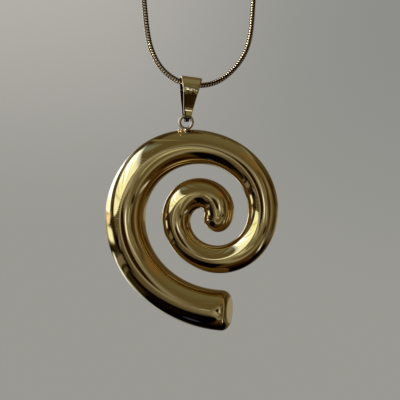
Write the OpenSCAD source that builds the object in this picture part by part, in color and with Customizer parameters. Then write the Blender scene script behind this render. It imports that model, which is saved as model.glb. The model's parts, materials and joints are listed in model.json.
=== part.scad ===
// Spiral pendant on a fine snake chain. The front faces -Y and the spiral lies in the XZ plane.
// The origin is where the necklace hangs: on the underside of the clasp, at the top of the loop.

/* [Spiral] */
// Height of the wound tube, without its ring
spiral_h = 50; // [40:1:60]
// Radius of the rounded edge of the flat end
end_round = 2.1; // [1:0.1:3]
// Turn at which the tube has its full width, next to the flat end, in degrees
end_turn = 80; // [75:1:100]
// Turn at which the ball of the inner end is centred, in degrees
tip_turn = 745; // [700:1:745]

/* [Ring] */
// Outer diameter of the welded ring
ring_od = 4.1; // [3.6:0.1:4.5]
// Thickness of the ring's wire
wire_d = 0.8; // [0.6:0.05:0.9]
// Turn of the tube under the ring, in degrees
ring_turn = 253; // [245:1:265]
// How deep the ring sinks into the tube
weld_sink = 0.2; // [0.1:0.05:0.4]
// Width of the weld bead
weld_d = 1.5; // [1:0.1:2]

/* [Bail] */
// Thickness of the folded strip
strip_t = 0.45; // [0.35:0.05:0.5]
// Lean of the bail to its right, in degrees
bail_lean = 6.5; // [0:0.5:10]

/* [Chain] */
// Thickness of the chain
chain_d = 1.4; // [1:0.1:1.6]
// Turn of the chain's plane and the bail out of the spiral's plane, in degrees
chain_turn = 31; // [0:1:35]

/* [Clasp] */
// Diameter of the clasp
clasp_d = 3; // [2.6:0.1:4]
// Length of the clasp, with both caps
clasp_l = 11; // [10.5:0.5:12]

/* [Hidden] */

gold = "#b08d3c";
tube_sides = 20; // flats round the spiral's tube
tube_step = 7.5; // degrees of turn between the tube's rings
cap_steps = 5; // rings that round each end of the tube
ball_turn = 86; // degrees from the ball's widest ring to its last one, which is a tiny flat
chain_sides = 8; // flats round the chain
chain_steps = 2; // chain rings in each span of its route
bail_steps = 4; // flats of the strip in each span of its profile
round_fn = 48; // flats of the ring and the clasp
fine_fn = 32; // flats of the weld bead, the wire and the clasp's holes

// The tube's course round the eye of the spiral, for a spiral 50 mm high.
// turn: degrees wound clockwise from the right-hand side, a row every 45.
// reach: distance of the tube's middle from the eye. width: diameter of the tube.
// The rows steer a smooth curve, which passes close to them.
WINDING_H = 50;
WINDING_STEP = 45;
TURN = 0; REACH = 1; WIDTH = 2;
winding = [
    [ 45, 28.3, 11.0],
    [ 90, 23.4,  9.7],
    [135, 22.0,  9.9],
    [180, 21.5, 10.4],
    [225, 18.9, 10.2],
    [270, 15.6,  8.1],
    [315, 15.1,  7.5],
    [360, 14.9,  7.3],
    [405, 14.1,  7.3],
    [450, 11.2,  6.7],
    [495,  8.8,  6.5],
    [540,  7.2,  7.6],
    [585,  5.7,  7.8],
    [630,  4.4,  7.5],
    [675,  3.9,  7.7],
    [720,  3.6,  7.6],
    [765,  3.6,  6.6],
    [810,  3.6,  5.5],
];

// Side profile of half the strip, from its top to a prong: depth in front of the bail's middle,
// height above the middle of the ring. The rows steer a smooth curve down the strip's middle.
strip_profile = [
    [1.30, 10.55],
    [1.42,  9.10],
    [1.62,  7.80],
    [1.30,  6.00],
    [1.18,  4.50],
    [0.92,  3.10],
    [1.40,  2.20],
    [1.42,  0.90],
    [0.92,  0.22],
    [0.33,  0.66],
    [0.28,  1.20],
];
strip_top = 11.2; // steers the middle of the fold
hinge_h = 9.55; // the chain's middle in the bail, above the middle of the ring

// Front outline of the strip: height above the middle of the ring, half width.
strip_taper = [
    [12.0, 2.75],
    [11.0, 2.70],
    [ 9.8, 2.45],
    [ 8.3, 2.00],
    [ 5.8, 1.58],
    [ 3.2, 1.20],
    [ 1.4, 0.92],
    [ 1.1, 0.50],
    [ 0.6, 0.52],
    [ 0.1, 0.42],
];

// The chain's route in its own plane, from one end of the clasp round to the other: across, and
// up from the chain's middle in the bail. The points steer a smooth curve of 441 mm.
chain_route = [
    [5, 197], [-4.5, 199], [-14, 197], [-22.5, 191], [-28, 182], [-30.5, 171.5],
    [-30, 159], [-27.5, 141], [-23.5, 113], [-19.5, 85], [-16, 60], [-13.7, 40],
    [-12.4, 27], [-11.5, 17.5], [-10.7, 9.5], [-8.1, 4.2], [-4.8, 1.4], [-1.4, 0],
    [2, -0.3], [5.2, 0.1], [8.3, 1.4], [11.5, 4.1], [14.4, 7.9], [16.1, 13],
    [16.6, 21], [17.2, 30], [18.4, 43], [20, 62], [22.6, 89], [25.3, 117],
    [28, 145], [30, 162], [30, 173], [27.5, 183], [22, 191.5], [14, 197],
    [4.5, 199], [-5, 197],
];

bore_gap = 0.15; // between the chain and its hole in the clasp
cap_l = 2.5; // length of each cap
cap_step = 0.35; // how far the caps stand proud of the barrel

// A uniform cubic curve steered by the rows of p: its value at s, from 1 to len(p) - 2.
function steered(p, s) =
    let (i = min(max(floor(s), 1), len(p) - 3), u = s - i, v = 1 - u)
    (v ^ 3 * p[i - 1] + (3 * u ^ 3 - 6 * u ^ 2 + 4) * p[i]
     + (3 * v ^ 3 - 6 * v ^ 2 + 4) * p[i + 1] + u ^ 3 * p[i + 2]) / 6;

// All the points of that curve, with n steps in each span.
function course(p, n) = [for (k = [0 : n * (len(p) - 3)]) steered(p, 1 + k / n)];

function unit(v) = v / norm(v);

// Direction of a list of points at its point i.
function heading(p, i) = unit(p[min(i + 1, len(p) - 1)] - p[max(i - 1, 0)]);

scale_k = spiral_h / WINDING_H;
function row_at(turn) = steered(winding, (turn - winding[0][TURN]) / WINDING_STEP);
function reach_at(turn) = scale_k * row_at(turn)[REACH];
function tube_r(turn) = scale_k * row_at(turn)[WIDTH] / 2;
// Middle of the tube from the eye: across, and up.
function tube_mid(turn) = reach_at(turn) * [cos(turn), -sin(turn)];

// Places of the joints, across and up from the origin
chain_end = steered(chain_route, len(chain_route) - 2);
hinge_z = clasp_d / 2 - chain_end[1];
ring_mid = [-hinge_h * sin(bail_lean), hinge_z - hinge_h * cos(bail_lean)];
ring_up = tube_r(ring_turn) + ring_od / 2 - weld_sink;
eye = ring_mid - tube_mid(ring_turn) - [0, ring_up];

// A ring of n points round the point mid, in the plane across the direction dir. All in XZ.
function loop_points(mid, dir, r, n) =
    [for (k = [0 : n - 1])
        let (a = 360 * k / n, side = [-dir[1], dir[0]] * r * cos(a))
        [mid[0] + side[0], r * sin(a), mid[1] + side[1]]];

// A closed skin over rings of n points each, in order, with a flat face at both ends.
module skin(rings) {
    n = len(rings[0]);
    m = len(rings);
    walls = [for (i = [0 : m - 2], k = [0 : n - 1])
        let (a = i * n, b = a + n, next = (k + 1) % n)
        each [[a + k, b + k, b + next], [a + k, b + next, a + next]]];
    first = [for (k = [0 : n - 1]) k];
    last = [for (k = [n - 1 : -1 : 0]) (m - 1) * n + k];
    polyhedron([for (ring = rings) each ring], concat(walls, [first, last]));
}

// The wound tube, its flat end with a rounded edge and its inner end a ball.
module tube() {
    turns = [for (t = [end_turn : tube_step : tip_turn - tube_step / 2]) t, tip_turn];
    mids = [for (t = turns) tube_mid(t)];
    last = len(turns) - 1;
    start_dir = heading(mids, 0);
    tip_dir = heading(mids, last);
    start_r = tube_r(turns[0]);
    tip_r = tube_r(tip_turn);
    flat_end = [for (k = [cap_steps : -1 : 1])
        let (a = 90 * k / cap_steps)
        loop_points(mids[0] - start_dir * end_round * sin(a), start_dir,
                    start_r - end_round * (1 - cos(a)), tube_sides)];
    body = [for (i = [0 : last])
        loop_points(mids[i], heading(mids, i), tube_r(turns[i]), tube_sides)];
    ball = [for (k = [1 : cap_steps])
        let (a = ball_turn * k / cap_steps)
        loop_points(mids[last] + tip_dir * tip_r * sin(a), tip_dir, tip_r * cos(a), tube_sides)];
    skin(concat(flat_end, body, ball));
}

// The wire ring, upright in the spiral's plane.
module wire_ring() {
    rotate([90, 0, 0])
        rotate_extrude($fn = round_fn)
            translate([(ring_od - wire_d) / 2, 0])
                circle(d = wire_d, $fn = fine_fn);
}

module spiral() {
    color(gold) {
        translate([eye[0], 0, eye[1]]) tube();
        translate([ring_mid[0], 0, ring_mid[1]]) {
            wire_ring();
            translate([0, 0, -(ring_od - weld_sink) / 2]) sphere(d = weld_d, $fn = fine_fn);
        }
    }
}

// Side profile of the whole strip, as a band of even thickness along its middle line.
module strip_side() {
    other = [for (i = [len(strip_profile) - 1 : -1 : 0]) [-strip_profile[i][0], strip_profile[i][1]]];
    line = course(concat(other, [[0, strip_top]], strip_profile), bail_steps);
    function edge(side) = [for (i = [0 : len(line) - 1])
        let (dir = heading(line, i)) line[i] + side * strip_t / 2 * [-dir[1], dir[0]]];
    inner = edge(-1);
    polygon(concat(edge(1), [for (i = [len(inner) - 1 : -1 : 0]) inner[i]]));
}

// Front outline of the whole strip.
module strip_front() {
    heights = concat([strip_taper[0]], course(strip_taper, 2), [strip_taper[len(strip_taper) - 1]]);
    polygon(concat([for (row = heights) [row[1], row[0]]],
                   [for (i = [len(heights) - 1 : -1 : 0]) [-heights[i][1], heights[i][0]]]));
}

module bail() {
    deep = 2 * strip_top; // past the strip on every side
    color(gold)
        translate([0, 0, hinge_z]) rotate([0, bail_lean, 0]) rotate([0, 0, chain_turn])
            translate([0, 0, -hinge_h])
                intersection() {
                    rotate([90, 0, 90]) linear_extrude(deep, center = true) strip_side();
                    rotate([90, 0, 0]) linear_extrude(deep, center = true) strip_front();
                }
}

module chain() {
    mids = course(chain_route, chain_steps);
    color(gold)
        translate([0, 0, hinge_z]) rotate([0, 0, chain_turn])
            skin([for (i = [0 : len(mids) - 1])
                loop_points(mids[i], heading(mids, i), chain_d / 2, chain_sides)]);
}

// A barrel with a cap at each end, and a hole in each cap that holds an end of the chain.
module clasp() {
    hole_d = chain_d + 2 * bore_gap;
    ends_apart = 2 * chain_end[0];
    color(gold)
        translate([0, 0, clasp_d / 2]) rotate([0, 0, chain_turn]) rotate([0, 90, 0])
            difference() {
                union() {
                    cylinder(d = clasp_d - 2 * cap_step, h = clasp_l, center = true, $fn = round_fn);
                    for (side = [-1, 1])
                        translate([0, 0, side * (clasp_l - cap_l) / 2])
                            cylinder(d = clasp_d, h = cap_l, center = true, $fn = round_fn);
                }
                for (side = [-1, 1])
                    translate([0, 0, side * (ends_apart / 2 - bore_gap + clasp_l / 2)])
                        cylinder(d = hole_d, h = clasp_l, center = true, $fn = fine_fn);
            }
}

spiral();
bail();
chain();
clasp();
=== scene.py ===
import json
import math

import bpy
from mathutils import Matrix, Vector


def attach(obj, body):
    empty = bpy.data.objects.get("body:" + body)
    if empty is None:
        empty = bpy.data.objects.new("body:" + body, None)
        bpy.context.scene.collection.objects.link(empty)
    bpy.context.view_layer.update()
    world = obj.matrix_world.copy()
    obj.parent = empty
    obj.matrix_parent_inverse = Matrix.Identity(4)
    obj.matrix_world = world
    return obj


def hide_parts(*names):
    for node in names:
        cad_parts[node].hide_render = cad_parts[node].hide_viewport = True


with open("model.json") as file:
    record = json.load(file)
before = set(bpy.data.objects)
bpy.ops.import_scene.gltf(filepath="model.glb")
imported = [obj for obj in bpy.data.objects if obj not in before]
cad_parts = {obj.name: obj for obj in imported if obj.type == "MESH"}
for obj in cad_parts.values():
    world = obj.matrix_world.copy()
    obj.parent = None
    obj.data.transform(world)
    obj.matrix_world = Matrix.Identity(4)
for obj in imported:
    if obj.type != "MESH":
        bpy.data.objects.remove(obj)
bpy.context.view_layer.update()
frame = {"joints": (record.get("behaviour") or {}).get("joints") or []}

# Camera. It stands level with the spiral's eye and a little to its right, so that the spiral is
# seen 16 degrees from its front. The target is the middle of the picture.
MM = 0.001
CAMERA_TURN = math.radians(16)
CAMERA_AWAY = 215 * MM
CAMERA_TARGET = Vector((2.575, 0, -225.852)) * MM
CAMERA_NEAR = 0.01
CAMERA_FAR = 20
SENSOR = 36
FOCAL_PER_WIDTH = 860 / 400

towards_camera = Vector((math.sin(CAMERA_TURN), -math.cos(CAMERA_TURN), 0))
bpy.ops.object.camera_add(location=CAMERA_TARGET + towards_camera * CAMERA_AWAY,
                          rotation=(math.pi / 2, 0, CAMERA_TURN))
camera = bpy.context.object
camera.name = "camera"
camera.data.sensor_width = SENSOR
camera.data.lens = SENSOR * FOCAL_PER_WIDTH
camera.data.clip_start = CAMERA_NEAR
camera.data.clip_end = CAMERA_FAR
bpy.context.scene.camera = camera
bpy.context.scene.view_settings.view_transform = "Standard"


# Stage. A pale round floor well below the pendant, one large soft light over it, and a plain pale
# backdrop that only the camera sees. The metal mirrors a ring of soft cards hung round it instead.
FLOOR_BELOW = -0.9
FLOOR_R = 2.6
FLOOR_SOLID_R = 0.9
FLOOR_CLEAR_R = 0.97 * FLOOR_R
FLOOR_SIDES = 128
FLOOR_COLOUR = (0.42, 0.41, 0.385)
FLOOR_MOTTLED = [0.94 * c for c in FLOOR_COLOUR]
MOTTLE_SCALE = 6.0
BACKDROP = (0.322, 0.317, 0.29)
BACKDROP_SOFTNESS = 0.95
# Place (azimuth, elevation, aside, above), size and colour of the clouds on the backdrop.
backdrop_clouds = [
    ("light cloud", (-149, 21, 0, 0), (0.66, 0.44), (0.49, 0.467, 0.432)),
    ("grey cloud", (-180, 12, 0, 0), (0.42, 0.40), (0.268, 0.272, 0.256)),
]
ROOM_LIGHT = (0.36, 0.36, 0.36)
# Past the first reflection, this share of what the metal mirrors is the room between the cards.
FIRST_REFLECTION = 1.5
SECOND_DULLING = 0.65
BETWEEN_CARDS = (66, 44, 16)
SOFT_LIGHT_PLACE = (0.3, -0.4, 1.2)
SOFT_LIGHT_SIZE = 1.2
SOFT_LIGHT_POWER = 9
SMALL_LAMPS_AIM = Vector((0, 0, -152)) * MM
SMALL_LAMPS_AWAY = 500 * MM
# These keep the division and the power in a card's outline within bounds.
LEAST_DEPTH = 0.001
FARTHEST_SHARE = 100.0


def add_node(tree, kind, inputs=None, **settings):
    """Adds a node, sets its properties, and fills its inputs: sockets are linked, values are set."""
    node = tree.nodes.new(kind)
    for name, value in settings.items():
        setattr(node, name, value)
    for key, value in (inputs or {}).items():
        if isinstance(value, bpy.types.NodeSocket):
            tree.links.new(value, node.inputs[key])
        else:
            node.inputs[key].default_value = value
    return node


def maths(tree, operation, *values):
    return add_node(tree, "ShaderNodeMath", dict(enumerate(values)), operation=operation).outputs[0]


def dot(tree, a, b):
    node = add_node(tree, "ShaderNodeVectorMath", {0: a, 1: b}, operation="DOT_PRODUCT")
    return node.outputs["Value"]


def mix_colours(tree, factor, a, b):
    node = add_node(tree, "ShaderNodeMix", {"Factor": factor}, data_type="RGBA")
    for key, value in ((6, a), (7, b)):
        if isinstance(value, bpy.types.NodeSocket):
            tree.links.new(value, node.inputs[key])
        else:
            node.inputs[key].default_value = (*value, 1)
    return node.outputs[2]


def new_group(name, inputs, outputs):
    """A shader node group with named sockets, given as name: socket kind."""
    group = bpy.data.node_groups.new(name, "ShaderNodeTree")
    for direction, sockets in (("INPUT", inputs), ("OUTPUT", outputs)):
        for socket_name, kind in sockets.items():
            group.interface.new_socket(socket_name, in_out=direction, socket_type="NodeSocket" + kind)
    return group, group.nodes.new("NodeGroupInput").outputs, group.nodes.new("NodeGroupOutput").inputs


def soft_card_group():
    """Where a flat card with soft edges is seen in a direction: 1 on the card and 0 beside it."""
    group, given, result = new_group(
        "soft card",
        {"Direction": "Vector", "Facing": "Vector", "Across": "Vector", "Up": "Vector",
         "Aside": "Float", "Above": "Float", "Half Width": "Float", "Half Height": "Float",
         "Squareness": "Float", "Softness": "Float"},
        {"Mask": "Float"})
    depth = dot(group, given["Direction"], given["Facing"])
    safe_depth = maths(group, "MAXIMUM", depth, LEAST_DEPTH)
    powers = []
    for axis, offset, half in (("Across", "Aside", "Half Width"), ("Up", "Above", "Half Height")):
        place = maths(group, "DIVIDE", dot(group, given["Direction"], given[axis]), safe_depth)
        share = maths(group, "DIVIDE", maths(group, "SUBTRACT", place, given[offset]), given[half])
        bounded = maths(group, "MINIMUM", maths(group, "ABSOLUTE", share), FARTHEST_SHARE)
        powers.append(maths(group, "POWER", bounded, given["Squareness"]))
    reach = maths(group, "POWER", maths(group, "ADD", *powers),
                  maths(group, "DIVIDE", 1.0, given["Squareness"]))
    edge = add_node(group, "ShaderNodeMapRange",
                    {"Value": reach,
                     "From Min": maths(group, "SUBTRACT", 1.0, given["Softness"]),
                     "From Max": maths(group, "ADD", 1.0, given["Softness"]),
                     "To Min": 1.0, "To Max": 0.0},
                    interpolation_type="SMOOTHSTEP")
    in_front = maths(group, "GREATER_THAN", depth, 0.0)
    group.links.new(maths(group, "MULTIPLY", edge.outputs[0], in_front), result["Mask"])
    return group


GOLD = (0.85, 0.68, 0.33)


def shown_on_gold(red, green, blue, gain=1.0):
    """The light that polished gold plating shows as this screen colour, 0 to 255."""
    return tuple(gain * (c / 255) ** 2.2 / g for c, g in zip((red, green, blue), GOLD))


def facing(azimuth, elevation):
    """The direction to a card, and its own across and up, with azimuth 0 in front of the pendant."""
    a, e = math.radians(azimuth), math.radians(elevation)
    return (Vector((math.sin(a) * math.cos(e), -math.cos(a) * math.cos(e), math.sin(e))),
            Vector((math.cos(a), math.sin(a), 0)),
            Vector((-math.sin(a) * math.sin(e), math.cos(a) * math.sin(e), math.cos(e))))


def add_card(tree, direction, behind, name, place, size, tilt, softness, squareness, colour):
    """Lays one soft card over the colours behind it. Its place is azimuth, elevation, aside, above,
    and its size is its width and height, both at a distance of 1."""
    azimuth, elevation, aside, above = place
    towards, across, up = facing(azimuth, elevation)
    t = math.radians(tilt)
    card = add_node(tree, "ShaderNodeGroup", {}, node_tree=soft_card, label=name)
    values = {"Facing": towards,
              "Across": across * math.cos(t) + up * math.sin(t),
              "Up": up * math.cos(t) - across * math.sin(t),
              "Aside": aside * math.cos(t) + above * math.sin(t),
              "Above": above * math.cos(t) - aside * math.sin(t),
              "Half Width": size[0] / 2, "Half Height": size[1] / 2,
              "Squareness": squareness, "Softness": softness}
    for key, value in values.items():
        card.inputs[key].default_value = value
    tree.links.new(direction, card.inputs["Direction"])
    return mix_colours(tree, card.outputs["Mask"], behind, colour)


soft_card = soft_card_group()

# Elevation in degrees, and the colour of the studio there as the gold shows it.
studio_shades = [
    (-90, (20, 8, 2)),
    (-70, (46, 24, 5)),
    (-62, (66, 47, 20)),
    (-52, (60, 43, 14)),
    (-30, (90, 76, 43)),
    (0, (86, 70, 40)),
    (25, (88, 72, 38)),
    (45, (88, 74, 40)),
    (90, (98, 86, 50)),
]
# Name, place (azimuth, elevation, aside, above), size, tilt, softness, squareness, and its colour
# as the gold shows it, with a gain as fourth number where it is brighter.
studio_cards = [
    ("upper left shade", (-115, 46, 0, 0), (1.0, 0.5), 0, 0.4, 3, (58, 44, 20)),
    ("upper left grey board", (-66, 44, 0, 0), (0.8, 0.17), -8, 0.6, 3, (112, 110, 82)),
    ("upper left wire", (-74, 57, 0, 0), (1.6, 0.05), 0, 0.5, 6, (114, 102, 64)),
    ("softbox right pane", (-90, 0, 1.55, 0.04), (3.6, 1.1), -14, 0.04, 12, (246, 236, 172)),
    ("softbox right bright", (-90, 0, 0.35, 0.66), (0.8, 0.36), -25, 0.7, 3, (255, 253, 232, 1.4)),
    ("softbox right core", (-90, 0, 1.0, 0.45), (1.2, 0.2), -25, 0.7, 3, (254, 246, 200, 1.25)),
    ("softbox right glow", (-90, 0, 1.9, 0.12), (1.1, 0.14), -6, 0.7, 3, (252, 238, 146, 1.15)),
    ("softbox crease a", (-90, 0, 1.1, 0.3), (2.0, 0.035), -14, 0.5, 8, (208, 194, 128)),
    ("softbox crease b", (-90, 0, 1.3, 0.12), (1.8, 0.035), -6, 0.5, 8, (212, 198, 124)),
    ("softbox crease c", (-90, 0, 0.95, 0.52), (1.5, 0.035), -20, 0.5, 8, (214, 204, 142)),
    ("softbox crease d", (-90, 0, 1.0, 0.21), (1.6, 0.02), -10, 0.5, 8, (222, 208, 138)),
    ("softbox top frost", (-90, 0, 1.05, 0.72), (2.0, 0.1), -14, 0.7, 4, (200, 195, 162)),
    ("softbox left pane", (-90, 0, -0.85, 0.25), (1.85, 0.52), 0, 0.14, 6, (255, 250, 222, 1.35)),
    ("softbox left warm", (-90, 0, -1.45, 0.28), (0.7, 0.5), 0, 0.6, 3, (228, 206, 152)),
    ("softbox left low", (-90, 0, -0.75, 0.09), (1.5, 0.12), 0, 0.5, 4, (250, 230, 172, 1.1)),
    ("softbox left rim", (-111, 30, 0, 0), (0.5, 0.09), 13, 0.5, 4, (160, 155, 126)),
    ("slanted flag", (-90, 0, 0.24, 0.215), (1.75, 0.33), -38.5, 0.14, 8, (80, 63, 38)),
    ("slanted flag grey", (-98, 29, 0, 0), (0.4, 0.1), -20, 0.6, 3, (112, 106, 84)),
    ("slanted flag dark", (-90, 0, 0.62, 0.02), (0.5, 0.2), -35, 0.4, 6, (56, 38, 16)),
    ("wall below softbox", (-90, 0, 2.0, -0.72), (4.4, 1.4), 0, 0.02, 12, (84, 70, 43)),
    ("front wide ring", (17, -13, 0, 0), (1.36, 1.5), 0, 0.16, 2, (128, 114, 76)),
    ("front wide ring inside", (19, -9, 0, 0), (1.16, 1.2), 0, 0.16, 2, (92, 77, 43)),
    ("front ring", (11, 5, 0, 0), (0.84, 0.86), 0, 0.3, 2, (124, 111, 76)),
    ("front ring right", (30, 2, 0, 0), (0.5, 0.6), 0, 0.4, 2, (112, 98, 62)),
    ("front blob", (2, 4, 0, 0), (0.4, 0.38), 30, 0.2, 3, (42, 24, 4)),
    ("front blob foot", (6, -9, 0, 0), (0.22, 0.08), -30, 0.4, 3, (96, 82, 42)),
    ("front streak", (-8, -13, 0, 0), (0.26, 0.07), -48, 0.5, 3, (178, 162, 108)),
    ("front streak low", (4, -22.5, 0, 0), (0.36, 0.07), -16, 0.5, 3, (160, 146, 98)),
    ("front streak thin", (-6, -5, 0, 0), (0.3, 0.05), -30, 0.5, 4, (158, 142, 100)),
    ("front tall bar", (23, 7, 0, 0), (0.11, 0.52), -3, 0.5, 4, (176, 160, 118)),
    ("front tall bar bright", (21, 1, 0, 0), (0.11, 0.26), 0, 0.5, 3, (252, 238, 192)),
    ("front bar glow", (30, 2, 0, 0), (0.12, 0.16), 0, 0.6, 3, (126, 110, 70)),
    ("front bar", (40, -5, 0, 0), (0.05, 0.22), 3, 0.5, 4, (186, 172, 130)),
    ("front right dark", (55, 4, 0, 0), (0.14, 0.36), 0, 0.5, 3, (46, 32, 12)),
    ("front right board", (49, 19, 0, 0), (0.16, 0.27), 0, 0.5, 3, (111, 99, 64)),
    ("front right shade", (50, 34, 0, 0), (0.16, 0.1), 0, 0.6, 3, (66, 52, 28)),
    ("left floor black", (-80, -50, 0, 0), (2.3, 0.72), 0, 0.2, 5, (7, 4, 1)),
    ("left floor black near", (-54, -34, 0, 0), (0.5, 0.6), 0, 0.4, 4, (20, 12, 4)),
    ("left floor sheen", (-97, -63, 0, 0), (0.45, 0.1), 0, 0.7, 3, (70, 70, 72)),
    ("left dark cloth", (-90, 0, -0.05, -0.6), (1.2, 0.5), 0, 0.3, 5, (46, 36, 12)),
    ("left low softbox", (-136, -27, 0, 0), (0.8, 0.42), 5, 0.35, 4, (158, 154, 124)),
    ("left low softbox bright", (-126, -19, 0, 0), (0.7, 0.16), -6, 0.4, 3, (240, 232, 192)),
    ("left table", (-90, 0, -1.1, -0.1), (1.6, 0.17), 0, 0.2, 8, (150, 134, 82)),
    ("left table edge", (-90, 0, -0.35, -0.275), (1.6, 0.065), -3, 0.4, 6, (32, 26, 8)),
    ("softbox foot", (-90, 0, -0.75, -0.005), (1.9, 0.07), 0, 0.4, 6, (195, 155, 92)),
    ("softbox foot bright", (-90, 0, -0.12, -0.03), (0.65, 0.08), 0, 0.5, 4, (240, 214, 152)),
    ("wall below shade", (-90, 0, 0.62, -0.17), (0.85, 0.3), 0, 0.2, 6, (48, 33, 11)),
    ("wall below dark", (-90, 0, 1.15, -0.34), (0.9, 0.34), 0, 0.3, 5, (20, 8, 1)),
    ("wall ledge", (-90, 0, 1.9, -0.2), (1.2, 0.06), 6, 0.5, 6, (112, 97, 78)),
    ("left table top", (-90, 0, 0.01, -0.165), (0.82, 0.13), -3, 0.35, 4, (238, 226, 164, 1.1)),
    ("left rail", (-90, 0, 0.25, -0.41), (1.5, 0.085), 2, 0.4, 8, (110, 94, 64)),
    ("left rail low", (-90, 0, 0.1, -0.525), (1.2, 0.04), 3, 0.5, 8, (92, 78, 46)),
    ("rear left board", (-172, 5, 0, 0), (0.5, 0.8), 0, 0.4, 3, (118, 98, 66)),
    ("rear low shade", (-172, -38, 0, 0), (0.7, 0.5), 0, 0.4, 3, (54, 40, 24)),
    ("rear floor black", (-168, -66, 0, 0), (1.9, 0.9), 0, 0.25, 4, (8, 3, 1)),
    ("rear right board", (163, -6, 0, 0), (0.55, 0.22), 0, 0.35, 3, (139, 124, 88)),
    ("rear right shade up", (143, 22, 0, 0), (0.4, 0.28), 0, 0.4, 3, (60, 40, 12)),
    ("rear right shade", (148, -31, 0, 0), (0.5, 0.3), 0, 0.3, 3, (56, 42, 22)),
    ("rear upper shade", (170, 38, 0, 0), (1.0, 0.8), 0, 0.5, 3, (72, 57, 30)),
    ("right dark column", (62, 4, 0, 0), (0.25, 1.1), 0, 0.6, 4, (62, 44, 18)),
    ("right dark foot", (46, -20, 0, 0), (0.22, 0.16), 0, 0.5, 3, (40, 26, 8)),
    ("right low shade", (114, -14, 0, 0), (0.5, 0.45), 0, 0.5, 3, (58, 44, 22)),
    ("right upper shade", (114, 34, 0, 0), (0.55, 0.5), 0, 0.5, 3, (62, 48, 24)),
    ("right column", (80, 2, 0, 0), (0.2, 1.0), 0, 0.6, 4, (120, 98, 60)),
    ("right column upper", (89, 38, 0, 0), (0.16, 0.8), 0, 0.5, 4, (126, 105, 68)),
    ("right brown", (118, 14, 0, 0), (0.5, 0.5), 0, 0.4, 3, (50, 31, 7)),
    ("right orange", (64, 48, 0, 0), (0.6, 0.35), 0, 0.7, 3, (110, 80, 37)),
    ("right upper board", (132, 55, 0, 0), (0.5, 0.1), 0, 0.5, 3, (132, 120, 82)),
    ("right low grey", (104, -30, 0, 0), (0.5, 0.25), 0, 0.5, 3, (78, 68, 53)),
    ("right low black", (124, -50, 0, 0), (0.8, 0.6), 0, 0.4, 3, (12, 7, 3)),
    ("right low lamp", (78, -43, 0, 0), (0.38, 0.16), -48, 0.6, 3, (172, 156, 120)),
    ("right low lamp bright", (85, -47, 0, 0), (0.12, 0.1), -40, 0.6, 3, (225, 215, 180)),
]

world = bpy.data.worlds.new("studio")
bpy.context.scene.world = world
world.use_nodes = True
world.cycles.sampling_method = "NONE"
sky = world.node_tree
sky.nodes.clear()
look = add_node(sky, "ShaderNodeTexCoord").outputs["Generated"]
height = add_node(sky, "ShaderNodeSeparateXYZ", {0: look}).outputs["Z"]
shades = add_node(sky, "ShaderNodeValToRGB", {"Fac": maths(sky, "MULTIPLY_ADD", height, 0.5, 0.5)})
stops = shades.color_ramp.elements
while len(stops) < len(studio_shades):
    stops.new(1)
for stop, (elevation, shade) in zip(stops, studio_shades):
    stop.position = 0.5 + math.sin(math.radians(elevation)) / 2
    stop.color = (*shown_on_gold(*shade), 1)
mirrored = shades.outputs["Color"]
for *card_shape, shade in studio_cards:
    mirrored = add_card(sky, look, mirrored, *card_shape, shown_on_gold(*shade))
# What the gold mirrors in itself is duller: there it sees the dark room between the cards.
light_path = add_node(sky, "ShaderNodeLightPath").outputs
again = maths(sky, "GREATER_THAN", light_path["Glossy Depth"], FIRST_REFLECTION)
dulled = mix_colours(sky, SECOND_DULLING, mirrored, shown_on_gold(*BETWEEN_CARDS))
mirrored = mix_colours(sky, again, mirrored, dulled)
seen = BACKDROP
for name, place, size, shade in backdrop_clouds:
    seen = add_card(sky, look, seen, name, place, size, 0, BACKDROP_SOFTNESS, 2, shade)
room = add_node(sky, "ShaderNodeBackground", {"Color": (*ROOM_LIGHT, 1)}).outputs[0]
studio = add_node(sky, "ShaderNodeBackground", {"Color": mirrored}).outputs[0]
backdrop = add_node(sky, "ShaderNodeBackground", {"Color": seen}).outputs[0]
either = add_node(sky, "ShaderNodeMixShader", {0: light_path["Is Glossy Ray"], 1: room, 2: studio})
whole = add_node(sky, "ShaderNodeMixShader",
                 {0: light_path["Is Camera Ray"], 1: either.outputs[0], 2: backdrop})
add_node(sky, "ShaderNodeOutputWorld", {"Surface": whole.outputs[0]})

bpy.ops.object.select_all(action="DESELECT")
bpy.ops.mesh.primitive_circle_add(vertices=FLOOR_SIDES, radius=FLOOR_R, fill_type="NGON",
                                  location=(0, 0, FLOOR_BELOW))
floor = bpy.context.object
floor.name = "floor"
bpy.ops.object.transform_apply(location=True, rotation=True, scale=True)
floor.visible_glossy = False
floor_paint = bpy.data.materials.new("pale_floor")
floor_paint.use_nodes = True
tree = floor_paint.node_tree
tree.nodes.clear()
spot = add_node(tree, "ShaderNodeTexCoord").outputs["Object"]
mottle = add_node(tree, "ShaderNodeTexNoise",
                  {"Vector": spot, "Scale": MOTTLE_SCALE, "Detail": 3.0})
tint = mix_colours(tree, mottle.outputs["Fac"], FLOOR_COLOUR, FLOOR_MOTTLED)
solid = add_node(tree, "ShaderNodeBsdfDiffuse", {"Color": tint}).outputs[0]
clear = add_node(tree, "ShaderNodeBsdfTransparent").outputs[0]
flat_spot = add_node(tree, "ShaderNodeVectorMath", {0: spot, 1: (1, 1, 0)}, operation="MULTIPLY")
away = add_node(tree, "ShaderNodeVectorMath", {0: flat_spot.outputs[0]}, operation="LENGTH")
fade = add_node(tree, "ShaderNodeMapRange",
                {"Value": away.outputs["Value"],
                 "From Min": FLOOR_SOLID_R, "From Max": FLOOR_CLEAR_R},
                interpolation_type="SMOOTHSTEP").outputs[0]
surface = add_node(tree, "ShaderNodeMixShader", {0: fade, 1: solid, 2: clear}).outputs[0]
add_node(tree, "ShaderNodeOutputMaterial", {"Surface": surface})
floor.data.materials.append(floor_paint)

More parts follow.
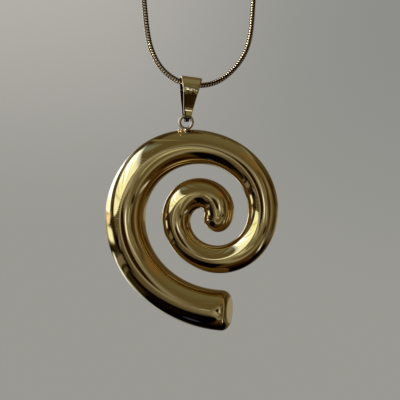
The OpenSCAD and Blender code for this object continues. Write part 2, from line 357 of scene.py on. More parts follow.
bpy.ops.object.light_add(type="AREA", location=SOFT_LIGHT_PLACE)
soft_light = bpy.context.object
soft_light.name = "soft_light"
soft_light.data.shape = "DISK"
soft_light.data.size = SOFT_LIGHT_SIZE
soft_light.data.energy = SOFT_LIGHT_POWER
soft_light.visible_glossy = False
soft_light.visible_camera = False

# Two small lamps light only the chain and the solder, so that links and lumps sparkle, and a dim
# one shows only in the bail, as the pale patch low on its front.
sparkling = bpy.data.collections.new("sparkling")
patched = bpy.data.collections.new("patched")
# Name, what it lights, its azimuth and elevation, radius in mm, power and colour.
small_lamps = [
    ("chain_lamp_high", sparkling, (-35, 40), 20, 3.8, (1, 0.93, 0.85)),
    ("chain_lamp_low", sparkling, (-40, -30), 20, 1.2, (1, 0.93, 0.85)),
    ("bail_lamp", patched, (46.5, -1), 40, 0.117, (0.6, 0.68, 1.0)),
]
for name, lit, side, radius, power, colour in small_lamps:
    towards_lamp, *_ = facing(*side)
    bpy.ops.object.light_add(type="POINT",
                             location=SMALL_LAMPS_AIM + towards_lamp * SMALL_LAMPS_AWAY)
    small_lamp = bpy.context.object
    small_lamp.name = name
    small_lamp.data.shadow_soft_size = radius * MM
    small_lamp.data.energy = power
    small_lamp.data.color = colour
    small_lamp.visible_camera = False
    small_lamp.light_linking.receiver_collection = lit


# Spiral. A hollow steel tube with pale gold plating, rolled up in its own plane. It is thickest
# near its flat end, which has a rounded edge, and its inner end is a ball. All mirror polished.
WINDING_STEP = 45
# The rows steer its course round the eye: turn in degrees, reach of its middle, width, in mm.
winding = [
    (45, 28.3, 11.0),
    (90, 23.4, 9.7),
    (135, 22.0, 9.9),
    (180, 21.5, 10.4),
    (225, 18.9, 10.2),
    (270, 15.6, 8.1),
    (315, 15.1, 7.5),
    (360, 14.9, 7.3),
    (405, 14.1, 7.3),
    (450, 11.2, 6.7),
    (495, 8.8, 6.5),
    (540, 7.2, 7.6),
    (585, 5.7, 7.8),
    (630, 4.4, 7.5),
    (675, 3.9, 7.7),
    (720, 3.6, 7.6),
    (765, 3.6, 6.6),
    (810, 3.6, 5.5),
]
END_TURN = 80
TIP_TURN = 745
TURN_STEP = 5
END_ROUND = 2.1 * MM
FLAT_SUPPORT = 0.2 * MM
TUBE_SIDES = 32
ROUNDING_STEPS = 4
BALL_STEPS = 5
BALL_END = math.radians(86)
HEADING_STEP = 0.1
RING_TURN = 253
RING_OD = 4.1 * MM
WELD_SINK = 0.2 * MM
# A turn or a change of size below this is left out.
TINY = 1e-6


def steered(rows, s):
    """A uniform cubic curve steered by the rows: its value at s, from 1 to len(rows) - 2."""
    i = min(max(math.floor(s), 1), len(rows) - 3)
    u = s - i
    v = 1 - u
    weights = (v ** 3, 3 * u ** 3 - 6 * u ** 2 + 4, 3 * v ** 3 - 6 * v ** 2 + 4, u ** 3)
    near = rows[i - 1:i + 3]
    return [sum(w * row[k] for w, row in zip(weights, near)) / 6 for k in range(len(rows[0]))]


def tube_middle(turn):
    _, reach, _ = steered(winding, (turn - winding[0][0]) / WINDING_STEP)
    angle = math.radians(turn)
    return Vector((math.cos(angle), 0, -math.sin(angle))) * reach * MM


def tube_radius(turn):
    return steered(winding, (turn - winding[0][0]) / WINDING_STEP)[2] * MM / 2


def tube_heading(turn):
    return (tube_middle(turn + HEADING_STEP) - tube_middle(turn - HEADING_STEP)).normalized()


def joint_place(name):
    return Vector(next(j["pos_m"] for j in frame["joints"] if j["name"] == name))


ring_middle = joint_place("spiral_swing")
ring_up = tube_radius(RING_TURN) + RING_OD / 2 - WELD_SINK
spiral_eye = ring_middle - tube_middle(RING_TURN) - Vector((0, 0, ring_up))


def draw_out(name, stations, sides):
    """Extrudes a filled circle from station to station (middle, heading in the XZ plane, radius)."""
    # A round skin made by subdivision lies a little inside the corners of its cage.
    outward = 3 / (2 + math.cos(2 * math.pi / sides))
    middle, heading, radius = stations[0]
    lean = math.atan2(heading.x, heading.z)
    bpy.ops.object.select_all(action="DESELECT")
    bpy.ops.mesh.primitive_circle_add(vertices=sides, radius=radius * outward, fill_type="NGON",
                                      location=middle, rotation=(0, lean, 0))
    piece = bpy.context.object
    piece.name = name
    bpy.ops.object.transform_apply(location=True, rotation=True, scale=True)
    bpy.ops.object.mode_set(mode="EDIT")
    bpy.ops.mesh.select_all(action="SELECT")
    for new_middle, new_heading, new_radius in stations[1:]:
        bpy.ops.mesh.extrude_region_move(TRANSFORM_OT_translate={"value": new_middle - middle})
        new_lean = math.atan2(new_heading.x, new_heading.z)
        turn = (lean - new_lean + math.pi) % (2 * math.pi) - math.pi
        if abs(turn) > TINY:
            bpy.ops.transform.rotate(value=turn, orient_axis="Y", center_override=new_middle)
        k = new_radius / radius
        if abs(k - 1) > TINY:
            bpy.ops.transform.resize(value=(k, k, k), center_override=new_middle)
        middle, lean, radius = new_middle, new_lean, new_radius
    bpy.ops.mesh.select_all(action="SELECT")
    bpy.ops.mesh.normals_make_consistent(inside=False)
    bpy.ops.object.mode_set(mode="OBJECT")
    return piece


def apply_subdivision(piece, levels):
    modifier = piece.modifiers.new("rounding", "SUBSURF")
    modifier.levels = levels
    modifier.render_levels = levels
    bpy.context.view_layer.objects.active = piece
    bpy.ops.object.modifier_apply(modifier=modifier.name)


def spiral_stations():
    start = spiral_eye + tube_middle(END_TURN)
    start_heading = tube_heading(END_TURN)
    start_radius = tube_radius(END_TURN)
    flat_radius = start_radius - END_ROUND
    flat_middle = start - start_heading * END_ROUND
    stations = [(flat_middle, start_heading, flat_radius - FLAT_SUPPORT)]
    for k in range(ROUNDING_STEPS):
        a = math.pi / 2 * (1 - k / ROUNDING_STEPS)
        stations.append((start - start_heading * END_ROUND * math.sin(a), start_heading,
                         start_radius - END_ROUND * (1 - math.cos(a))))
    for turn in range(END_TURN, TIP_TURN + 1, TURN_STEP):
        stations.append((spiral_eye + tube_middle(turn), tube_heading(turn), tube_radius(turn)))
    tip, tip_heading, tip_radius = stations[-1]
    for k in range(1, BALL_STEPS + 1):
        a = BALL_END * k / BALL_STEPS
        stations.append((tip + tip_heading * tip_radius * math.sin(a), tip_heading,
                         tip_radius * math.cos(a)))
    return stations


# How fine each kind of mark is, and the span of its noise over which it goes from none to full.
WAVE_SCALE = 170.0
RIPPLE_SCALE = 1100.0
RIPPLE_SHARE = 0.03
SMUDGE_SCALE = 95.0
SMUDGE_SPAN = (0.45, 0.7)
TONE_SCALE = 38.0
TONE_SPAN = (0.35, 0.65)
# Hairlines are noise drawn out along one direction, once for each way that the metal was wiped.
WIPING_TURNS = ((0.4, 0.9, 0.2), (1.1, -0.5, 2.0), (-0.7, 0.3, 1.2))
HAIRLINE_SCALES = (60, 2600, 2600)
HAIRLINE_SPAN = (0.66, 0.74)
HAIRLINE_ROUGHNESS = 0.05
# The tint of what the plating mirrors where it is seen at a flat angle.
EDGE_TINT = (1, 0.95, 0.85, 1)


def handling_marks_group():
    """Polished metal that has been worn: slight waves, hairline scratches, smudges and tone."""
    group, given, result = new_group(
        "handling marks",
        {"Place": "Vector", "Wave Height": "Float", "Scratch Depth": "Float",
         "Clean Roughness": "Float", "Smudge Roughness": "Float"},
        {"Height": "Float", "Roughness": "Float", "Tone": "Float"})

    def noise(scale, detail, place=given["Place"]):
        return add_node(group, "ShaderNodeTexNoise",
                        {"Vector": place, "Scale": scale, "Detail": detail}).outputs["Fac"]

    def between(value, low, high):
        return add_node(group, "ShaderNodeMapRange",
                        {"Value": value, "From Min": low, "From Max": high}).outputs[0]

    waves = maths(group, "MULTIPLY_ADD", noise(RIPPLE_SCALE, 0.0), RIPPLE_SHARE,
                  noise(WAVE_SCALE, 1.0))
    wave_height = maths(group, "MULTIPLY", waves, given["Wave Height"])
    scratches = 0.0
    for turn in WIPING_TURNS:
        drawn = add_node(group, "ShaderNodeMapping",
                         {"Vector": given["Place"], "Rotation": turn, "Scale": HAIRLINE_SCALES})
        lines = between(noise(1.0, 0.0, drawn.outputs[0]), *HAIRLINE_SPAN)
        scratches = maths(group, "MAXIMUM", scratches, lines)
    scratch_depth = maths(group, "MULTIPLY", scratches, given["Scratch Depth"])
    group.links.new(maths(group, "SUBTRACT", wave_height, scratch_depth), result["Height"])
    smudges = between(noise(SMUDGE_SCALE, 4.0), *SMUDGE_SPAN)
    smudged = maths(group, "MULTIPLY_ADD", smudges, given["Smudge Roughness"],
                    given["Clean Roughness"])
    group.links.new(maths(group, "MULTIPLY_ADD", scratches, HAIRLINE_ROUGHNESS, smudged),
                    result["Roughness"])
    group.links.new(between(noise(TONE_SCALE, 2.0), *TONE_SPAN), result["Tone"])
    return group


def plating(name, pale, warm, roughness, smudge, wave, scratch):
    """Gold plating over steel, with the marks of handling: the material, its nodes, its shader."""
    material = bpy.data.materials.new(name)
    material.use_nodes = True
    tree = material.node_tree
    tree.nodes.clear()
    place = add_node(tree, "ShaderNodeTexCoord").outputs["Object"]
    marks = add_node(tree, "ShaderNodeGroup", {}, node_tree=handling_marks)
    tree.links.new(place, marks.inputs["Place"])
    for key, value in (("Wave Height", wave), ("Scratch Depth", scratch),
                       ("Clean Roughness", roughness), ("Smudge Roughness", smudge)):
        marks.inputs[key].default_value = value
    colour = mix_colours(tree, marks.outputs["Tone"], pale, warm)
    bump = add_node(tree, "ShaderNodeBump", {"Distance": 1.0, "Height": marks.outputs["Height"]})
    metal = add_node(tree, "ShaderNodeBsdfPrincipled",
                     {"Base Color": colour, "Metallic": 1.0, "Specular Tint": EDGE_TINT,
                      "Roughness": marks.outputs["Roughness"], "Normal": bump.outputs[0]})
    add_node(tree, "ShaderNodeOutputMaterial", {"Surface": metal.outputs[0]})
    return material, tree, metal


handling_marks = handling_marks_group()
polished_gold, *_ = plating("polished_gold", GOLD, (0.84, 0.665, 0.315),
                            roughness=0.018, smudge=0.035, wave=5e-6, scratch=4e-7)

spiral_tube = draw_out("spiral_tube", spiral_stations(), TUBE_SIDES)
apply_subdivision(spiral_tube, 2)
bpy.ops.object.shade_smooth()
spiral_tube.data.materials.append(polished_gold)
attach(spiral_tube, "spiral")
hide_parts("spiral")


# Ring. A jump ring of round wire, soldered upright on the crown of the tube. The solder is a
# rough, warmer bead that ran a little to one side before it set, and holds the ring's foot.
WIRE_D = 0.8 * MM
WIRE_SIDES = 24
RING_STEPS = 80
ring_foot = ring_middle - Vector((0, 0, (RING_OD - WELD_SINK) / 2))
# Place beside the ring's foot and half size of each lump of the solder, in mm.
solder_lumps = [
    ((-0.62, -1.25, -0.30), (0.80, 0.95, 0.56)),
    ((0.10, -0.45, -0.10), (0.45, 0.90, 0.45)),
    ((-1.27, -1.45, -0.30), (0.50, 0.70, 0.50)),
    ((0.42, -1.55, -0.33), (0.52, 0.75, 0.70)),
]
LUMP_SIDES = 24
LUMP_RINGS = 16
SOLDER_VOXEL = 0.05 * MM
SOLDER_SETTLING = 6
SOLDER_PITS = 0.16 * MM
SOLDER_PIT_SIZE = 0.5 * MM
SOLDER_PIT_MIDDLE = 0.55
MERGE_WITHIN = 0.001 * MM

bpy.ops.object.select_all(action="DESELECT")
wire_middle = ring_middle + Vector(((RING_OD - WIRE_D) / 2, 0, 0))
bpy.ops.mesh.primitive_circle_add(vertices=WIRE_SIDES, radius=WIRE_D / 2, fill_type="NOTHING",
                                  location=wire_middle)
hanging_ring = bpy.context.object
hanging_ring.name = "hanging_ring"
bpy.ops.object.transform_apply(location=True, rotation=True, scale=True)
bpy.ops.object.mode_set(mode="EDIT")
bpy.ops.mesh.select_all(action="SELECT")
bpy.ops.mesh.spin(steps=RING_STEPS, angle=2 * math.pi, center=ring_middle, axis=(0, 1, 0))
bpy.ops.mesh.select_all(action="SELECT")
bpy.ops.mesh.remove_doubles(threshold=MERGE_WITHIN)
bpy.ops.mesh.normals_make_consistent(inside=False)
bpy.ops.object.mode_set(mode="OBJECT")
bpy.ops.object.shade_smooth()
pale_wire, *_ = plating("pale_wire", (0.74, 0.65, 0.46), (0.70, 0.58, 0.36),
                        roughness=0.20, smudge=0.12, wave=1.2e-5, scratch=8e-7)
hanging_ring.data.materials.append(pale_wire)
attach(hanging_ring, "spiral")
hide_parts("spiral")

bpy.ops.object.select_all(action="DESELECT")
lumps = []
for place, half_size in solder_lumps:
    bpy.ops.mesh.primitive_uv_sphere_add(segments=LUMP_SIDES, ring_count=LUMP_RINGS, radius=1,
                                         location=ring_foot + Vector(place) * MM)
    lump = bpy.context.object
    lump.scale = Vector(half_size) * MM
    bpy.ops.object.transform_apply(location=True, rotation=True, scale=True)
    lumps.append(lump)
for lump in lumps:
    lump.select_set(True)
solder_bead = lumps[0]
bpy.context.view_layer.objects.active = solder_bead
bpy.ops.object.join()
solder_bead.name = "solder_bead"
fuse = solder_bead.modifiers.new("fuse", "REMESH")
fuse.mode = "VOXEL"
fuse.voxel_size = SOLDER_VOXEL
bpy.ops.object.modifier_apply(modifier=fuse.name)
settle = solder_bead.modifiers.new("settle", "SMOOTH")
settle.iterations = SOLDER_SETTLING
bpy.ops.object.modifier_apply(modifier=settle.name)
lumpy = bpy.data.textures.new("solder", "CLOUDS")
lumpy.noise_scale = SOLDER_PIT_SIZE
pit = solder_bead.modifiers.new("pits", "DISPLACE")
pit.texture = lumpy
pit.strength = SOLDER_PITS
pit.mid_level = SOLDER_PIT_MIDDLE
bpy.ops.object.modifier_apply(modifier=pit.name)
bpy.ops.object.shade_smooth()
solder, *_ = plating("solder", (1.0, 0.84, 0.60), (0.95, 0.68, 0.40),
                     roughness=0.28, smudge=0.12, wave=3e-5, scratch=1e-6)
solder_bead.data.materials.append(solder)
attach(solder_bead, "spiral")
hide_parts("spiral")
sparkling.objects.link(solder_bead)


# Bail. One strip of plated steel, tapered to both ends, folded over the chain and pinched below
# its shoulders, where the tool left it dented. Its narrow ends curl inward through the ring.
BAIL_LEAN = math.radians(6.5)
CHAIN_TURN = math.radians(31)
STRIP_T = 0.45
HINGE_H = 9.55
# Each row steers the strip's front half: depth in front of its middle, and height, in mm.
strip_profile = [
    (1.02, 11.16),
    (1.22, 10.85),
    (1.31, 10.20),
    (1.42, 9.60),
    (1.60, 8.95),
    (1.70, 8.35),
    (1.66, 7.60),
    (1.50, 6.90),
    (1.32, 5.90),
    (1.12, 4.85),
    (0.96, 3.90),
    (0.90, 3.48),
    (0.88, 3.16),
    (0.88, 2.88),
    (0.91, 2.62),
    (0.99, 2.25),
    (1.08, 1.80),
    (1.15, 1.35),
    (1.17, 0.92),
    (1.07, 0.48),
    (0.78, 0.24),
    (0.36, 0.60),
    (0.28, 1.20),
]
# The back of the fold is rounder than its front: the rows that differ there.
back_of_fold = [(0.66, 11.02), (1.06, 10.50), (1.26, 9.90)]
STRIP_TOP = 11.2
# Each row steers its taper: height, and half of its width there, in mm.
strip_taper = [
    (12.0, 2.75),
    (12.0, 2.75),
    (11.0, 2.70),
    (9.8, 2.45),
    (8.3, 2.00),
    (5.8, 1.58),
    (3.2, 1.20),
    (1.4, 0.92),
    (1.1, 0.50),
    (0.6, 0.52),
    (0.1, 0.42),
    (0.1, 0.42),
]
PROFILE_STEPS = 4
STRIP_CUTS = 9
TAPER_STEPS = 4
# The rounding of its outer edges, and the share of it that is left below this height.
STRIP_EDGE = 0.24 * MM
STRIP_EDGE_STEPS = 4
THIN_EDGE = 0.3
THIN_EDGE_H = 7.4
SHARP_EDGE = math.radians(50)
# The leg behind is up to this share wider than the front one, round this height.
BACK_WIDER = 0.12
BACK_WIDER_H = 5.5
BACK_WIDER_REACH = 4.5
# The dents of the shoulder: middle, half height, depth and size.
DENTS_H = 7.9
DENTS_REACH = 1.3
DENT_DEPTH = 0.26 * MM
DENT_SIZE = 0.5 * MM
SMOOTH_BELOW = math.radians(35)
# Painted shade darkens its curled ends and, thinly, its shoulders. A point's share of it starts to
# show at the first value and covers the gold at the second.
BAIL_PAINTED_SHADE = (0.06, 0.04, 0.02)
BAIL_PAINTED_SHADE_SHOWS = 0.25
BAIL_PAINTED_SHADE_COVERS = 0.5
CURL_PAINTED_SHADE_REACH = 2.6
SHOULDER_PAINTED_SHADE = 0.37
SHOULDER_PAINTED_SHADE_H = 8.5
SHOULDER_PAINTED_SHADE_REACH = 1.3
# Painted shade also darkens the cut edge of the back, more broadly at the top. The back begins at the
# first place in the fold, above this height, and at the second in the legs.
BACK_PAINTED_SHADE = 0.46
FOLD_BACK = -0.4
LEG_BACK = 0.1
FOLD_H = 10
TOP_RIM = 0.3
TOP_RIM_H = 9
EDGE_RIM = 0.06
# The left edge of the front is darkened with painted shade up to the height of the thin edge, most
# beside its rim.
EDGE_PAINTED_SHADE = 0.42
BESIDE_EDGE_PAINTED_SHADE = 0.5
EDGE_PAINTED_SHADE_WIDTH = 0.45
EDGE_PAINTED_SHADE_LOWEST = 1.6


def half_width(height):
    rows = [steered(strip_taper, 1 + k / TAPER_STEPS)
            for k in range(TAPER_STEPS * (len(strip_taper) - 3) + 1)]
    if height >= rows[0][0]:
        return rows[0][1]
    for (h0, w0), (h1, w1) in zip(rows, rows[1:]):
        if h1 <= height <= h0 and h0 > h1:
            return w1 + (w0 - w1) * (height - h1) / (h0 - h1)
    return rows[-1][1]


def hump(x, middle, reach):
    """1 at the middle, falling smoothly to 0 at the reach on both sides."""
    return max(0.0, 1 - ((x - middle) / reach) ** 2) ** 2


def pick_points(piece, wanted):
    """Selects the points whose place passes the test and nothing else, in edit mode."""
    bpy.ops.object.mode_set(mode="EDIT")
    bpy.ops.mesh.select_all(action="DESELECT")
    bpy.ops.object.mode_set(mode="OBJECT")
    for v in piece.data.vertices:
        v.select = wanted(v.co)
    bpy.ops.object.mode_set(mode="EDIT")


back_profile = back_of_fold + strip_profile[len(back_of_fold):]
back_half = [(-depth, height) for depth, height in reversed(back_profile)]
controls = back_half + [(0, STRIP_TOP)] + strip_profile
strip_line = [steered(controls, 1 + k / PROFILE_STEPS)
              for k in range(PROFILE_STEPS * (len(controls) - 3) + 1)]

bpy.ops.object.select_all(action="DESELECT")
# Only the front edge of a plane 1 m wide is kept, and the strip is drawn out from it.
bpy.ops.mesh.primitive_plane_add(size=1)
bail_strip = bpy.context.object
bail_strip.name = "bail_strip"
bpy.ops.object.mode_set(mode="EDIT")
bpy.ops.mesh.delete(type="ONLY_FACE")
pick_points(bail_strip, lambda place: place.y > 0)
bpy.ops.mesh.delete(type="VERT")
bpy.ops.mesh.select_all(action="SELECT")
bpy.ops.mesh.subdivide(number_cuts=STRIP_CUTS)
first_depth, first_height = strip_line[0]
width = 2 * half_width(first_height) * MM
bpy.ops.transform.resize(value=(width, 1, 1), center_override=(0, 0, 0))
place = Vector((0, -first_depth * MM, first_height * MM))
bpy.ops.transform.translate(value=place + Vector((0, 0.5, 0)))
for depth, height in strip_line[1:]:
    new_place = Vector((0, -depth * MM, height * MM))
    bpy.ops.mesh.extrude_region_move(TRANSFORM_OT_translate={"value": new_place - place})
    wider = BACK_WIDER * hump(height, BACK_WIDER_H, BACK_WIDER_REACH) if depth < 0 else 0
    new_width = 2 * half_width(height) * (1 + wider) * MM
    k = new_width / width
    if abs(k - 1) > TINY:
        bpy.ops.transform.resize(value=(k, k, k), center_override=new_place)
    place, width = new_place, new_width
bpy.ops.object.mode_set(mode="OBJECT")
shoulder = bail_strip.vertex_groups.new(name="shoulder")
for v in bail_strip.data.vertices:
    weight = hump(v.co.z / MM, DENTS_H, DENTS_REACH)
    if weight > 0:
        shoulder.add([v.index], weight, "REPLACE")
dented = bpy.data.textures.new("dents", "CLOUDS")
dented.noise_scale = DENT_SIZE
dents = bail_strip.modifiers.new("dents", "DISPLACE")
dents.texture = dented
dents.vertex_group = shoulder.name
dents.strength = DENT_DEPTH
dents.mid_level = 0.5
bpy.ops.object.modifier_apply(modifier=dents.name)
bail_strip.vertex_groups.clear()
thicken = bail_strip.modifiers.new("thickness", "SOLIDIFY")
thicken.thickness = STRIP_T * MM
thicken.offset = 0
thicken.use_even_offset = True
bpy.ops.object.modifier_apply(modifier=thicken.name)
# Only its outer edges are rounded: the inner ones keep the burr of the stamping.
bpy.ops.object.mode_set(mode="EDIT")
bpy.ops.mesh.select_mode(type="EDGE")
bpy.ops.mesh.select_all(action="DESELECT")
bpy.ops.mesh.edges_select_sharp(sharpness=SHARP_EDGE)
bpy.ops.object.mode_set(mode="OBJECT")
# The thickened strip holds the points of one skin first, and then those of the other.
points = bail_strip.data.vertices
skin = len(points) // 2
front_most = min(points, key=lambda v: v.co.y).index
roundness = bail_strip.data.attributes.new("bevel_weight_edge", "FLOAT", "EDGE")
for edge in bail_strip.data.edges:
    outer = all((i < skin) == (front_most < skin) for i in edge.vertices)
    height = sum(points[i].co.z for i in edge.vertices) / 2 / MM
    if edge.select and outer:
        roundness.data[edge.index].value = 1 if height > THIN_EDGE_H else THIN_EDGE
rounding = bail_strip.modifiers.new("rounding", "BEVEL")
rounding.limit_method = "WEIGHT"
rounding.width = STRIP_EDGE
rounding.segments = STRIP_EDGE_STEPS
bpy.ops.object.modifier_apply(modifier=rounding.name)
bpy.ops.object.mode_set(mode="EDIT")
bpy.ops.mesh.select_mode(type="VERT")
bpy.ops.mesh.select_all(action="SELECT")
bpy.ops.mesh.normals_make_consistent(inside=False)
bpy.ops.object.mode_set(mode="OBJECT")
# Each point's share of painted shade: the back's cut edge, the front's left edge, the curled ends and
# the shoulders.
painted_shade = bail_strip.data.attributes.new("painted_shade", "FLOAT", "POINT")
for v in bail_strip.data.vertices:
    height = v.co.z / MM
    to_edge = half_width(height) - abs(v.co.x) / MM
    behind = v.co.y > (FOLD_BACK if height > FOLD_H else LEG_BACK) * MM
    cut = to_edge < (TOP_RIM if height > TOP_RIM_H else EDGE_RIM)
    left_edge = (v.co.x < 0 and to_edge < EDGE_PAINTED_SHADE_WIDTH
                 and EDGE_PAINTED_SHADE_LOWEST < height < THIN_EDGE_H)
    if behind and cut:
        share = BACK_PAINTED_SHADE
    elif left_edge and not behind:
        share = EDGE_PAINTED_SHADE if to_edge < EDGE_RIM else BESIDE_EDGE_PAINTED_SHADE
    else:
        share = max(hump(height, 0, CURL_PAINTED_SHADE_REACH),
                    SHOULDER_PAINTED_SHADE * hump(height, SHOULDER_PAINTED_SHADE_H, SHOULDER_PAINTED_SHADE_REACH))
    painted_shade.data[v.index].value = share
hinge_place = joint_place("bail_swing")
bail_strip.matrix_world = (Matrix.Translation(hinge_place) @ Matrix.Rotation(BAIL_LEAN, 4, "Y")
                           @ Matrix.Rotation(CHAIN_TURN, 4, "Z")
                           @ Matrix.Translation((0, 0, -HINGE_H * MM)))
bpy.ops.object.transform_apply(location=True, rotation=True, scale=True)
bpy.ops.object.shade_smooth_by_angle(angle=SMOOTH_BELOW)
bail_gold, tree, metal = plating("bail_gold", GOLD, (0.83, 0.66, 0.31),
                                 roughness=0.05, smudge=0.05, wave=1.2e-5, scratch=8e-7)
# Painted shade: the plating's base colour is darkened where a point's share of it is high.
unshaded_colour = metal.inputs["Base Color"].links[0].from_socket
painted_shade_share = add_node(tree, "ShaderNodeAttribute", attribute_name="painted_shade")
painted_shade_edge = add_node(tree, "ShaderNodeMapRange",
                     {"Value": painted_shade_share.outputs["Fac"],
                      "From Min": BAIL_PAINTED_SHADE_SHOWS, "From Max": BAIL_PAINTED_SHADE_COVERS})
shaded_colour = mix_colours(tree, painted_shade_edge.outputs[0], unshaded_colour, BAIL_PAINTED_SHADE)
tree.links.new(shaded_colour, metal.inputs["Base Color"])
bail_strip.data.materials.append(bail_gold)
patched.objects.link(bail_strip)
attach(bail_strip, "bail")
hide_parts("bail")


# Chain. A round snake chain, 18 inches round: short plated links with four rounded lobes, each
# lobe half a link further on than its neighbours. Painted shade darkens the grooves between them.
# Each row steers its route in the plane of its loop: across and up, in mm.
chain_route = [
    (5, 197), (-4.5, 199), (-14, 197), (-22.5, 191), (-28, 182), (-30.5, 171.5),
    (-30, 159), (-27.5, 141), (-23.5, 113), (-19.5, 85), (-16, 60), (-13.7, 40),
    (-12.4, 27), (-11.5, 17.5), (-10.7, 9.5), (-8.1, 4.2), (-4.8, 1.4), (-1.4, 0),
    (2, -0.3), (5.2, 0.1), (8.3, 1.4), (11.5, 4.1), (14.4, 7.9), (16.1, 13),
    (16.6, 21), (17.2, 30), (18.4, 43), (20, 62), (22.6, 89), (25.3, 117),
    (28, 145), (30, 162), (30, 173), (27.5, 183), (22, 191.5), (14, 197),
    (4.5, 199), (-5, 197),
]
ROUTE_STEPS = 16
CHAIN_R = 0.7 * MM
LINK_PITCH = 0.67 * MM
LINK_LOBES = 4
LOBE_STEPS = 4
LINK_TURN = math.radians(-4)
ROUTE_TWIST = math.radians(4)
# Along a link, as shares of its length: how much of the groove's depth is left there.
link_rings = [(0.0, 1.0), (0.22, 0.15), (0.5, 0.0), (0.78, 0.15), (1.0, 1.0)]
GROOVE = 0.18 * MM
LOBE_GROOVE = 0.16 * MM
LOBE_SHIFT = LINK_PITCH / 4
LINK_SIDES = LINK_LOBES * LOBE_STEPS
LINK_SMOOTH_BELOW = math.radians(38)
# Painted shade starts to show at the first share of a lobe's groove, and covers the gold at the
# second.
GROOVE_PAINTED_SHADE = (0.05, 0.025, 0.008)
GROOVE_PAINTED_SHADE_SHOWS = 0.18
GROOVE_PAINTED_SHADE_COVERS = 0.42

route = bpy.data.curves.new("chain_route", "CURVE")
route.dimensions = "3D"
route.twist_mode = "MINIMUM"
spline = route.splines.new("NURBS")
spline.points.add(len(chain_route) - 1)
for k, (point, (across, up)) in enumerate(zip(spline.points, chain_route)):
    point.co = (across * MM, 0, up * MM, 1)
    point.tilt = k * ROUTE_TWIST
spline.order_u = 4
spline.use_endpoint_u = False
spline.resolution_u = ROUTE_STEPS
route_object = bpy.data.objects.new("chain_route", route)
bpy.context.collection.objects.link(route_object)
route_length = spline.calc_length()
link_count = round(route_length / LINK_PITCH)
pitch = route_length / link_count

bpy.ops.object.select_all(action="DESELECT")
bpy.ops.mesh.primitive_circle_add(vertices=LINK_SIDES, radius=CHAIN_R - GROOVE, fill_type="NOTHING",
                                  rotation=(0, math.pi / 2, 0))
snake_chain = bpy.context.object
snake_chain.name = "snake_chain"
bpy.ops.object.transform_apply(location=True, rotation=True, scale=True)
bpy.ops.object.mode_set(mode="EDIT")
bpy.ops.mesh.select_all(action="SELECT")
along, radius = link_rings[0][0], CHAIN_R - GROOVE
for new_along, depth in link_rings[1:]:
    shift = (new_along - along) * pitch
    bpy.ops.mesh.extrude_edges_move(TRANSFORM_OT_translate={"value": (shift, 0, 0)})
    new_radius = CHAIN_R - GROOVE * depth
    k = new_radius / radius
    bpy.ops.transform.resize(value=(1, k, k), center_override=(new_along * pitch, 0, 0))
    along, radius = new_along, new_radius


def link_column(place):
    """The row of points round the link that a place is in, counted from a border of two lobes."""
    return round(math.atan2(place.z, place.y) / (2 * math.pi) * LINK_SIDES) % LINK_SIDES


pick_points(snake_chain, lambda place: link_column(place) % LOBE_STEPS == 0)
k = 1 - LOBE_GROOVE / CHAIN_R
bpy.ops.transform.resize(value=(1, k, k), center_override=(0, 0, 0))
for side, shift in ((0, -LOBE_SHIFT), (1, LOBE_SHIFT)):
    pick_points(snake_chain, lambda place: (link_column(place) % LOBE_STEPS != 0
                                            and link_column(place) // LOBE_STEPS % 2 == side))
    bpy.ops.transform.translate(value=(shift, 0, 0))
bpy.ops.object.mode_set(mode="OBJECT")
groove = snake_chain.data.attributes.new("groove", "FLOAT", "POINT")
for v in snake_chain.data.vertices:
    groove.data[v.index].value = min(1, (CHAIN_R - math.hypot(v.co.y, v.co.z)) / LOBE_GROOVE)
bpy.ops.object.mode_set(mode="EDIT")
bpy.ops.mesh.select_all(action="SELECT")
bpy.ops.transform.rotate(value=LINK_TURN, orient_axis="X", center_override=(0, 0, 0))
bpy.ops.object.mode_set(mode="OBJECT")
row = snake_chain.modifiers.new("row", "ARRAY")
row.count = link_count
row.use_relative_offset = False
row.use_constant_offset = True
row.constant_offset_displace = (pitch, 0, 0)
row.use_merge_vertices = True
row.use_merge_vertices_cap = False
row.merge_threshold = MERGE_WITHIN
bpy.ops.object.modifier_apply(modifier=row.name)
bend = snake_chain.modifiers.new("bend", "CURVE")
bend.object = route_object
bend.deform_axis = "POS_X"
bpy.ops.object.modifier_apply(modifier=bend.name)
bpy.ops.object.mode_set(mode="EDIT")
bpy.ops.mesh.select_all(action="SELECT")
bpy.ops.mesh.fill_holes(sides=0)
bpy.ops.mesh.select_all(action="SELECT")
bpy.ops.mesh.normals_make_consistent(inside=False)
bpy.ops.object.mode_set(mode="OBJECT")
bpy.data.objects.remove(route_object)
snake_chain.matrix_world = Matrix.Translation(hinge_place) @ Matrix.Rotation(CHAIN_TURN, 4, "Z")
bpy.ops.object.transform_apply(location=True, rotation=True, scale=True)
bpy.ops.object.shade_smooth_by_angle(angle=LINK_SMOOTH_BELOW)
chain_gold, tree, metal = plating("chain_gold", (0.97, 0.87, 0.65), (0.92, 0.77, 0.5),
                                  roughness=0.26, smudge=0.05, wave=1e-6, scratch=2e-7)
worn = metal.inputs["Base Color"].links[0].from_socket
# Painted shade in the grooves: the base colour darkens with the depth of the groove.
deep = add_node(tree, "ShaderNodeAttribute", attribute_name="groove")
groove_painted_shade = add_node(tree, "ShaderNodeMapRange",
                {"Value": deep.outputs["Fac"], "From Min": GROOVE_PAINTED_SHADE_SHOWS, "From Max": GROOVE_PAINTED_SHADE_COVERS})
darkened = mix_colours(tree, groove_painted_shade.outputs[0], worn, GROOVE_PAINTED_SHADE)
tree.links.new(darkened, metal.inputs["Base Color"])
snake_chain.data.materials.append(chain_gold)
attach(snake_chain, "chain")
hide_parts("chain")
sparkling.objects.link(snake_chain)


# Clasp. A plain plated barrel in two halves that twist together, with a thicker cap at each end.
# The ends of the chain are held in a hole in each cap. It hangs at the top of the loop.
CLASP_R = 1.5
BARREL_R = 1.15
CLASP_HALF = 5.5
CAP_L = 2.5
HOLE_R = 0.85
HOLE_BOTTOM = 4.35
CLASP_SIDES = 64
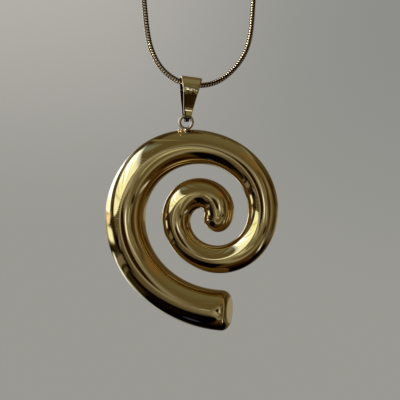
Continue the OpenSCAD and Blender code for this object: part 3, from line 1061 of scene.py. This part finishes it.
# Half of its outline, from the bottom of a hole to the middle: along, radius, in mm.
clasp_outline = [
    (-HOLE_BOTTOM, HOLE_R),
    (-CLASP_HALF + 0.12, HOLE_R),
    (-CLASP_HALF, HOLE_R + 0.1),
    (-CLASP_HALF, CLASP_R - 0.22),
    (-CLASP_HALF + 0.07, CLASP_R - 0.07),
    (-CLASP_HALF + 0.22, CLASP_R),
    (-CLASP_HALF + CAP_L - 0.15, CLASP_R),
    (-CLASP_HALF + CAP_L - 0.04, CLASP_R - 0.05),
    (-CLASP_HALF + CAP_L, CLASP_R - 0.16),
    (-CLASP_HALF + CAP_L, BARREL_R + 0.05),
    (-CLASP_HALF + CAP_L + 0.05, BARREL_R),
    (-0.12, BARREL_R),
    (-0.05, BARREL_R - 0.03),
    (0.0, BARREL_R - 0.1),
]
outline = clasp_outline + [(-along, radius) for along, radius in reversed(clasp_outline[:-1])]
bpy.ops.object.select_all(action="DESELECT")
along, radius = outline[0]
bpy.ops.mesh.primitive_circle_add(vertices=CLASP_SIDES, radius=radius * MM, fill_type="NGON",
                                  location=(along * MM, 0, 0), rotation=(0, math.pi / 2, 0))
barrel_clasp = bpy.context.object
barrel_clasp.name = "barrel_clasp"
bpy.ops.object.transform_apply(location=True, rotation=True, scale=True)
bpy.ops.object.mode_set(mode="EDIT")
bpy.ops.mesh.select_all(action="SELECT")
for new_along, new_radius in outline[1:]:
    shift = (new_along - along) * MM
    bpy.ops.mesh.extrude_region_move(TRANSFORM_OT_translate={"value": (shift, 0, 0)})
    k = new_radius / radius
    if abs(k - 1) > TINY:
        bpy.ops.transform.resize(value=(1, k, k), center_override=(new_along * MM, 0, 0))
    along, radius = new_along, new_radius
bpy.ops.mesh.select_all(action="SELECT")
bpy.ops.mesh.normals_make_consistent(inside=False)
bpy.ops.object.mode_set(mode="OBJECT")
barrel_clasp.matrix_world = (Matrix.Translation((0, 0, CLASP_R * MM))
                             @ Matrix.Rotation(CHAIN_TURN, 4, "Z"))
bpy.ops.object.transform_apply(location=True, rotation=True, scale=True)
bpy.ops.object.shade_smooth_by_angle(angle=SMOOTH_BELOW)
barrel_clasp.data.materials.append(bail_gold)
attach(barrel_clasp, "chain")
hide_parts("clasp")
